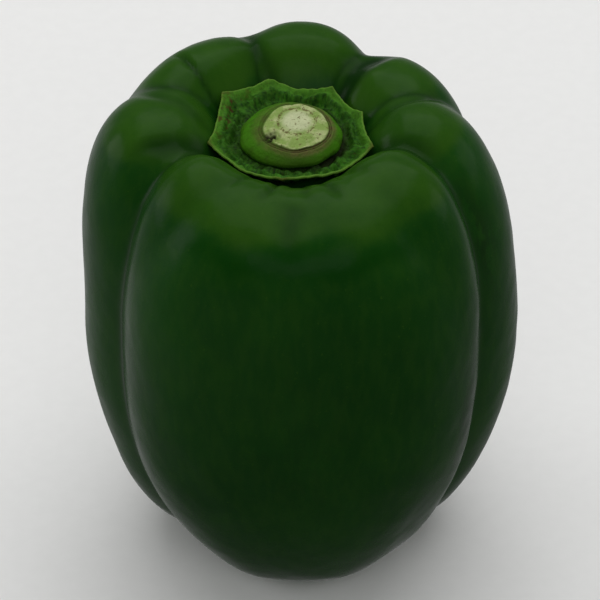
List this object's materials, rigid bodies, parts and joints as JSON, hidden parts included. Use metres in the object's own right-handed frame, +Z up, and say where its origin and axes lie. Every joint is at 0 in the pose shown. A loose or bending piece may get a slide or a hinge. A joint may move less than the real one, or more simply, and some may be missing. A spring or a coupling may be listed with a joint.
{
  "type": "bell pepper",
  "caption": "Blocky green bell pepper standing on its lobe tips, with a thin dished calyx and a short cut stem stub.",
  "frame": {"origin": "on the surface that the pepper stands on, under the middle of its outline", "axes": "+Z up along the fruit towards the stem, the wide front lobe faces -Y"},
  "size_m": [0.0842, 0.0792, 0.1019],
  "materials": {
    "skin": "smooth waxy dark green skin",
    "calyx": "dull wrinkled mid green, paler at the rim",
    "stem": "dry pale cut face with a brown edge, green below"
  },
  "bodies": {
    "root": {"fruit": "skin", "calyx": "calyx", "stem": "stem"}
  },
  "joints": []
}
